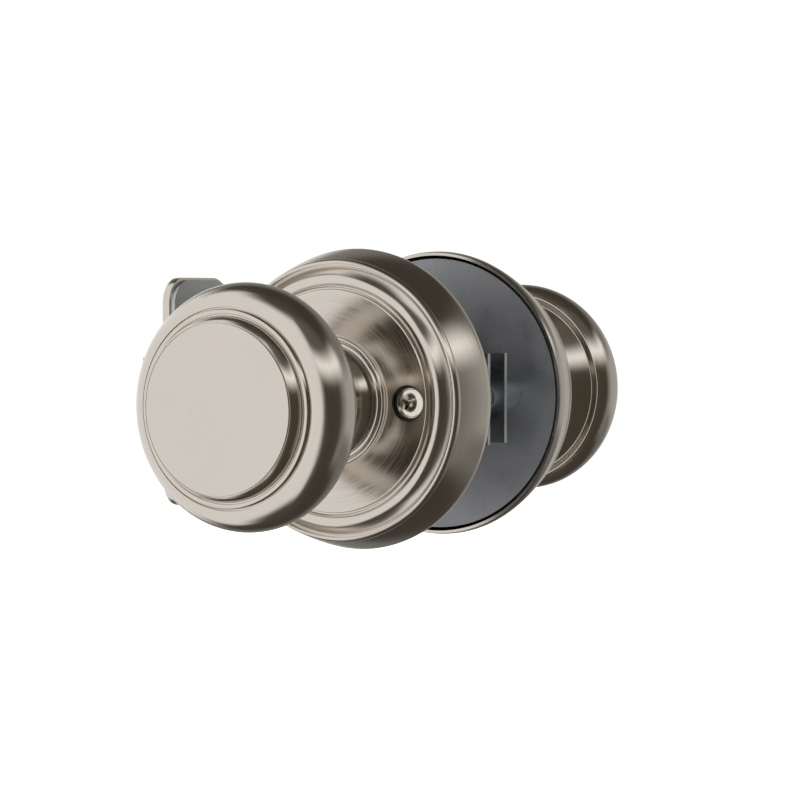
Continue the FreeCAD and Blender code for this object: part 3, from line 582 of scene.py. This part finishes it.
@dataclass
class Rose:
    """Stamped rose with its ringed profile and raised collar."""

    side: Side
    radius: float = 35.0
    height: float = 13.5
    wall: float = 1.0
    plateau: float = 25.3
    collar: float = 15.1
    bore: float = 12.6
    bush_bore: float = 13.7
    screw_hole: float = 4.1
    screw_place: float = 20.65
    drill_length: float = 8.0

    def outline(self) -> Outline:
        """Return the closed section, from the foot of the rim up and back inside."""
        top = self.height
        outline = Outline([(self.radius - self.wall, 0.0)])
        outline.line(self.radius - 0.35, 0.0)
        outline.arc(self.radius, 2.0, 6.5, Bulge.RIGHT, 8)
        outline.arc(32.5, 10.55, 60.0, Bulge.RIGHT, 28)
        outline.arc(31.55, 12.0, 1.6, Bulge.RIGHT, 14)
        outline.line(31.4, 11.9).line(31.3, 10.9)
        outline.line(30.95, 10.9).line(30.9, 11.2)
        outline.arc(30.6, 11.2, 0.2, Bulge.RIGHT, 8)
        outline.arc(28.9, 12.75, 8.0, Bulge.LEFT, 16)
        outline.arc(26.2, 13.3, 2.15, Bulge.RIGHT, 24)
        outline.line(26.0, 12.9).line(25.7, 12.9).line(25.6, 13.2)
        outline.arc(self.plateau, top, 0.45, Bulge.RIGHT, 6)
        outline.line(self.collar + 0.15, top)
        outline.arc(self.collar, top + 0.15, 0.15, Bulge.LEFT, 4)
        outline.line(self.collar, top + 0.85)
        outline.arc(self.collar - 0.65, top + 1.45, 0.65, Bulge.RIGHT, 8)
        outline.arc(self.collar - 1.0, top + 1.3, 0.22, Bulge.LEFT, 4)
        outline.arc(self.bore + 0.75, top + 1.8, 1.1, Bulge.RIGHT, 8)
        outline.arc(self.bore, top + 1.45, 0.7, Bulge.RIGHT, 6)
        outline.line(self.bore, top + 0.7).line(self.bush_bore, top + 0.7)
        outline.line(self.bush_bore, top - self.wall).line(26.8, top - self.wall)
        outline.line(29.0, 10.1).line(30.8, 10.1)
        return outline.line(self.radius - self.wall, 2.0)

    def build(self, finishes: Finishes) -> None:
        """Spin the rose; the interior one gets its two screw holes."""
        node = f"{self.side.prefix}_rose"
        piece = spin(f"{node}_stamped", self.outline(), self.side, closed=True)
        if self.side is Side.INTERIOR:
            middle = self.side.door_face + self.side.value * self.height
            for sign in (-1, 1):
                tool = add_rod("hole_tool", self.screw_hole, self.drill_length,
                               (sign * self.screw_place, middle, 0.0), "Y")
                carve(piece, tool)
            smooth(piece)
        finishes.settle(piece, node, "root")


@dataclass
class CrossScrew:
    """Cross-recess screw, made with the top of its head at the origin, facing -Y."""

    head: list[tuple[float, float]]
    shank_radius: float
    seat: float
    length: float
    crown: float = 6.4
    reach: float = 2.05
    width: float = 0.95
    depth: float = 1.6
    turn: float = 24.0
    tip: float = 0.6  # mm; length and depth of the bevel at the end
    foot_reach: float = 0.45  # share of the recess's reach that is left at its foot
    foot_width: float = 0.6  # share of the recess's width that is left at its foot

    def outline(self) -> Outline:
        """Return the section from the top of the head to the tip."""
        (crown_r, crown_drop), (rim_r, rim_drop) = self.head
        outline = Outline([(0.0, 0.0)])
        outline.arc(crown_r, -crown_drop, self.crown, Bulge.LEFT, 14)
        outline.arc(rim_r, -rim_drop, 0.4, Bulge.LEFT, 5)
        if self.seat > rim_drop + 0.5:
            outline.line(rim_r, -self.seat)
        outline.line(self.shank_radius, -self.seat)
        outline.line(self.shank_radius, self.tip - self.length)
        outline.line(self.shank_radius - self.tip, -self.length)
        return outline.line(0.0, -self.length)

    def blade(self) -> bpy.types.Object:
        """Return one tapered blade of the cross, from above the head down into it."""
        blade = add_box("recess_blade", (-self.reach, -0.5, -self.width / 2),
                        (self.reach, self.depth, self.width / 2))
        for vertex in blade.data.vertices:
            if vertex.co.y > 0:
                vertex.co.x *= self.foot_reach
                vertex.co.z *= self.foot_width
        return blade

    def build(self, name: str) -> bpy.types.Object:
        """Spin the screw and cut its cross."""
        outline = self.outline()
        outline.points = [(r, h + Side.INTERIOR.door_face) for r, h in outline.points]
        screw = spin(name, outline, Side.INTERIOR)
        for turn in (self.turn, self.turn + 90):
            blade = self.blade()
            blade.rotation_euler.y = math.radians(turn)
            apply_place(blade)
            carve(screw, blade)
        smooth(screw)
        return screw


def repeat(thing: bpy.types.Object, places: list[Vector]) -> bpy.types.Object:
    """Copy a piece to each place, given in mm, and join the copies into one piece."""
    copies = [thing]
    for _ in places[1:]:
        other = thing.copy()
        other.data = thing.data.copy()
        bpy.context.collection.objects.link(other)
        copies.append(other)
    for other, place in zip(copies, places):
        other.location = place * MM
        apply_place(other)
    make_active(thing)
    for other in copies:
        other.select_set(True)
    bpy.ops.object.join()
    return thing


@dataclass
class MountingScrews:
    """The two through screws, sunk in the interior rose's holes."""

    head_radius: float = 3.55
    head_height: float = 2.3
    shank_radius: float = 1.9
    spacing: float = 41.3

    def build(self, finishes: Finishes) -> None:
        """Make one pan-head screw, copy it and settle the pair."""
        low, high = (Vector(corner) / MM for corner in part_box("mounting_screws"))
        head = [(self.head_radius - 0.25, 0.85), (self.head_radius, 1.15)]
        screw = CrossScrew(head, self.shank_radius, self.head_height, high.y - low.y)
        pair = repeat(screw.build("mounting_screws_turned"),
                      [Vector((sign * self.spacing / 2, low.y, 0)) for sign in (1, -1)])
        finishes.settle(pair, "mounting_screws", "root")


@dataclass
class LatchFront:
    """What shows of the latch in the door's edge: plate, its screws and the bolt."""

    corner: float = 6.35
    edge_round: float = 0.25
    screw_place: float = 20.65
    screw_head: float = 4.2
    screw_hole: float = 2.35
    screw_shank: float = 1.9
    screw_seat: float = 2.2
    opening: tuple[float, float] = (6.55, 8.7)
    bolt_half: tuple[float, float] = (6.35, 8.5)
    slope_run: tuple[float, float] = (10.2, 11.5)
    nose_edge: float = -5.15  # Y at which the slope leaves the nose
    flange_radius: float = 10.7
    flange_length: float = 5.5
    bolt_round: float = 0.45
    overlap: float = 1.0  # how far one block runs into or past another

    def build_faceplate(self, finishes: Finishes) -> None:
        """Bevel a plate, cut its bolt opening and countersink its screw holes."""
        low, high = (corner / MM for corner in map(Vector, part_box("latch_faceplate")))
        plate = add_box("latch_faceplate_pressed", low, high)
        make_active(plate)
        self.bevel_edges(plate, self.corner, lambda run: abs(run.x) > 0.9, 16)
        half_y, half_z = self.opening
        tools = [add_box("bolt_opening", (low[0] - self.overlap, -half_y, -half_z),
                         (high[0] + self.overlap, half_y, half_z))]
        middle_x = (low[0] + high[0]) / 2
        for sign in (-1, 1):
            deselect_all()
            bpy.ops.mesh.primitive_cone_add(
                vertices=64, radius1=self.screw_head * MM, radius2=self.screw_hole * MM,
                depth=(high[0] - low[0]) * MM, rotation=(0, math.pi / 2, 0),
                location=Vector((middle_x, 0, sign * self.screw_place)) * MM)
            cone = bpy.context.active_object
            apply_place(cone)
            tools.append(cone)
        for tool in tools:
            carve(plate, tool)
        apply_modifier(plate, "BEVEL", width=self.edge_round * MM, segments=3,
                       limit_method="ANGLE", angle_limit=math.radians(60))
        smooth(plate)
        finishes.settle(plate, "latch_faceplate", "root")

    @staticmethod
    def bevel_edges(thing: bpy.types.Object, width: float,
                    chosen: Callable[[Vector], bool], segments: int) -> None:
        """Bevel the edges whose direction passes a test, width in mm."""
        make_active(thing)
        bpy.ops.object.mode_set(mode="EDIT")
        bpy.ops.mesh.select_all(action="DESELECT")
        mesh = bmesh.from_edit_mesh(thing.data)
        for edge in mesh.edges:
            run = (edge.verts[1].co - edge.verts[0].co).normalized()
            edge.select_set(chosen(run))
        bmesh.update_edit_mesh(thing.data)
        bpy.ops.mesh.bevel(offset=width * MM, segments=segments, affect="EDGES")
        bpy.ops.object.mode_set(mode="OBJECT")

    def build_bolt(self, finishes: Finishes) -> None:
        """Slice the bolt's slope off a block, round it and add its round flange."""
        low, high = (Vector(corner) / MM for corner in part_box("latch_bolt"))
        half_y, half_z = self.bolt_half
        end = high.x - self.flange_length
        bolt = add_box("latch_bolt_cast", (low.x, -half_y, -half_z),
                       (end + self.overlap, half_y, half_z))
        along, across = self.slope_run
        slope = Vector((-across, along, 0)).normalized()
        make_active(bolt)
        bpy.ops.object.mode_set(mode="EDIT")
        bpy.ops.mesh.select_all(action="SELECT")
        bpy.ops.mesh.bisect(plane_co=(low.x * MM, self.nose_edge * MM, 0),
                            plane_no=slope, clear_outer=True, use_fill=True)
        bpy.ops.object.mode_set(mode="OBJECT")
        apply_modifier(bolt, "BEVEL", width=self.bolt_round * MM, segments=4,
                       limit_method="ANGLE", angle_limit=math.radians(30))
        flange = add_rod("bolt_flange", self.flange_radius, self.flange_length,
                         (high.x - self.flange_length / 2, 0, 0), "X")
        apply_modifier(flange, "BEVEL", width=self.bolt_round * MM, segments=3,
                       limit_method="ANGLE", angle_limit=math.radians(60))
        apply_modifier(bolt, "BOOLEAN", operation="UNION", object=flange, solver="EXACT")
        bpy.data.objects.remove(flange, do_unlink=True)
        smooth(bolt)
        finishes.settle(bolt, "latch_bolt", "bolt")

    def build_screws(self, finishes: Finishes) -> None:
        """Make one countersunk screw, turn it into the door's edge and copy it."""
        low, high = (Vector(corner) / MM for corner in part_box("faceplate_screws"))
        recipe = CrossScrew([(3.6, 0.02), (4.0, 0.25)], self.screw_shank, self.screw_seat,
                            high.x - low.x, crown=300.0, depth=1.4, turn=11.0)
        screw = recipe.build("faceplate_screws_turned")
        screw.rotation_euler.z = -math.pi / 2
        apply_place(screw)
        pair = repeat(screw, [Vector((low.x, 0, sign * self.screw_place))
                              for sign in (1, -1)])
        finishes.settle(pair, "faceplate_screws", "root")

    def build(self, finishes: Finishes) -> None:
        """Build the pieces in the door's edge."""
        self.build_faceplate(finishes)
        self.build_bolt(finishes)
        self.build_screws(finishes)


# ------------------------------------------------------------------ studio
@dataclass(frozen=True)
class Panel:
    """One soft patch of the studio, as the metal sees it; angles in degrees.

    Bearing 0 is in front of the interior knob and 90 is on the +X side.
    """

    bearing: float
    rise: float
    half_width: float
    half_height: float
    soft: float
    radiance: tuple[float, float, float]


@dataclass
class Studio:
    """Camera, white surroundings and the soft patches that the metal mirrors."""

    azimuth: float = 33.1
    elevation: float = 2.76
    distance: float = 500.0
    width_seen: float = 177.9
    near_point: tuple[float, float, float] = (0.0, -47.5, 0.0)
    aim: tuple[float, float, float] = (0.0, 1.0, -1.0)
    clip: tuple[float, float] = (0.01, 20.0)  # m
    surround: tuple[float, float, float] = (0.28, 0.275, 0.255)
    backdrop: float = 1.05
    floor_size: float = 6.0  # m
    floor_drop: float = 0.30  # m
    panels: list[Panel] = field(default_factory=lambda: [
        Panel(-52, 0, 93, 66, 14, (1.0, 1.0, 1.0)),
        Panel(76, 0, 32, 100, 14, (0.07, 0.062, 0.045)),
        Panel(165, 0, 42, 24, 16, (0.50, 0.49, 0.465)),
        Panel(180, 34, 58, 16, 14, (0.24, 0.235, 0.21)),
        Panel(180, -34, 58, 16, 14, (0.22, 0.215, 0.20)),
        Panel(180, 64, 78, 24, 16, (0.06, 0.055, 0.044)),
        Panel(180, -64, 78, 24, 16, (0.065, 0.058, 0.048)),
        Panel(76, 50, 30, 26, 24, (0.13, 0.122, 0.105)),
        Panel(0, 90, 200, 16, 10, (0.08, 0.07, 0.055)),
        Panel(0, -90, 200, 16, 10, (0.08, 0.07, 0.055)),
        Panel(86, 30, 46, 7, 18, (1.3, 1.29, 1.27)),
    ])

    def build_camera(self) -> None:
        """Place the camera where it sees the interior half three-quarter on."""
        turn, rise = math.radians(self.azimuth), math.radians(self.elevation)
        back = Vector((math.sin(turn) * math.cos(rise),
                       -math.cos(turn) * math.cos(rise), math.sin(rise)))
        data = bpy.data.cameras.new("camera")
        camera = bpy.data.objects.new("camera", data)
        bpy.context.collection.objects.link(camera)
        camera.location = (Vector(self.near_point) + back * self.distance) * MM
        look = Vector(self.aim) * MM - camera.location
        camera.rotation_euler = look.to_track_quat("-Z", "Y").to_euler()
        data.lens = data.sensor_width / 2 / (self.width_seen / 2 / self.distance)
        data.clip_start, data.clip_end = self.clip
        bpy.context.scene.camera = camera

    @staticmethod
    def mask(tree: bpy.types.NodeTree, bearing: bpy.types.Node, rise: bpy.types.Node,
             panel: Panel) -> bpy.types.Node:
        """Return a node that is 1 within a panel and falls to 0 over its soft edge."""
        masks = []
        for angle, centre, half in ((bearing, panel.bearing, panel.half_width),
                                    (rise, panel.rise, panel.half_height)):
            off = add_node(tree, "ShaderNodeMath", {"operation": "SUBTRACT"},
                           {1: math.radians(centre)}, {0: angle.outputs[0]})
            turned = add_node(tree, "ShaderNodeMath", {"operation": "WRAP"},
                              {1: math.pi, 2: -math.pi}, {0: off.outputs[0]})
            size = add_node(tree, "ShaderNodeMath", {"operation": "ABSOLUTE"},
                            links={0: turned.outputs[0]})
            masks.append(add_node(
                tree, "ShaderNodeMapRange", {"interpolation_type": "SMOOTHSTEP"},
                {"From Min": math.radians(half + panel.soft / 2),
                 "From Max": math.radians(half - panel.soft / 2)},
                {"Value": size.outputs[0]}))
        return add_node(tree, "ShaderNodeMath", {"operation": "MULTIPLY"},
                        links={0: masks[0].outputs[0], 1: masks[1].outputs[0]})

    def build_world(self) -> None:
        """Surround the object with soft patches; the camera itself sees plain white."""
        world = bpy.data.worlds.new("studio")
        bpy.context.scene.world = world
        world.use_nodes = True
        tree = world.node_tree
        tree.nodes.clear()
        place = add_node(tree, "ShaderNodeTexCoord")
        parts = add_node(tree, "ShaderNodeSeparateXYZ",
                         links={0: place.outputs["Generated"]})
        front = add_node(tree, "ShaderNodeMath", {"operation": "MULTIPLY"}, {1: -1.0},
                         {0: parts.outputs["Y"]})
        bearing = add_node(tree, "ShaderNodeMath", {"operation": "ARCTAN2"},
                           links={0: parts.outputs["X"], 1: front.outputs[0]})
        rise = add_node(tree, "ShaderNodeMath", {"operation": "ARCSINE"},
                        links={0: parts.outputs["Z"]})
        colour = add_node(tree, "ShaderNodeRGB").outputs[0]
        colour.default_value = (*self.surround, 1.0)
        for panel in self.panels:
            both = self.mask(tree, bearing, rise, panel)
            mixed = add_node(tree, "ShaderNodeMix", {"data_type": "RGBA"},
                             {"B": (*panel.radiance, 1.0)},
                             {"Factor": both.outputs[0], "A": colour})
            colour = mixed.outputs["Result"]
        mirrored = add_node(tree, "ShaderNodeBackground", links={"Color": colour})
        seen = add_node(tree, "ShaderNodeBackground", None,
                        {"Color": (1.0, 1.0, 1.0, 1.0), "Strength": self.backdrop})
        path = add_node(tree, "ShaderNodeLightPath")
        mix = add_node(tree, "ShaderNodeMixShader",
                       links={0: path.outputs["Is Camera Ray"], 1: mirrored.outputs[0],
                              2: seen.outputs[0]})
        add_node(tree, "ShaderNodeOutputWorld", links={"Surface": mix.outputs[0]})

    def build_floor(self) -> None:
        """Lay a plain pale floor well below the set, out of the metal's reflections."""
        deselect_all()
        bpy.ops.mesh.primitive_plane_add(size=self.floor_size,
                                         location=(0, 0, -self.floor_drop))
        floor = bpy.context.active_object
        floor.name = "floor"
        material = bpy.data.materials.new("pale_floor")
        material.use_nodes = True
        shader = material.node_tree.nodes["Principled BSDF"]
        shader.inputs["Base Color"].default_value = linear("#f4f4f4")
        shader.inputs["Roughness"].default_value = 0.9
        shader.inputs["Emission Color"].default_value = (1.0, 1.0, 1.0, 1.0)
        shader.inputs["Emission Strength"].default_value = 1.0
        floor.data.materials.append(material)
        floor.visible_glossy = False
        floor.visible_diffuse = False
        floor.visible_shadow = False

    def build(self) -> None:
        """Set up the whole studio."""
        bpy.context.scene.view_settings.view_transform = "Standard"
        self.build_camera()
        self.build_world()
        self.build_floor()


def main() -> None:
    """Build the studio and the set."""
    Studio().build()
    finishes = Finishes()
    finishes.dress_packed_nodes()
    for side in Side:
        Knob(side).build(finishes)
        Rose(side).build(finishes)
    MountingScrews().build(finishes)
    LatchFront().build(finishes)
    deselect_all()


if __name__ == "__main__":
    main()
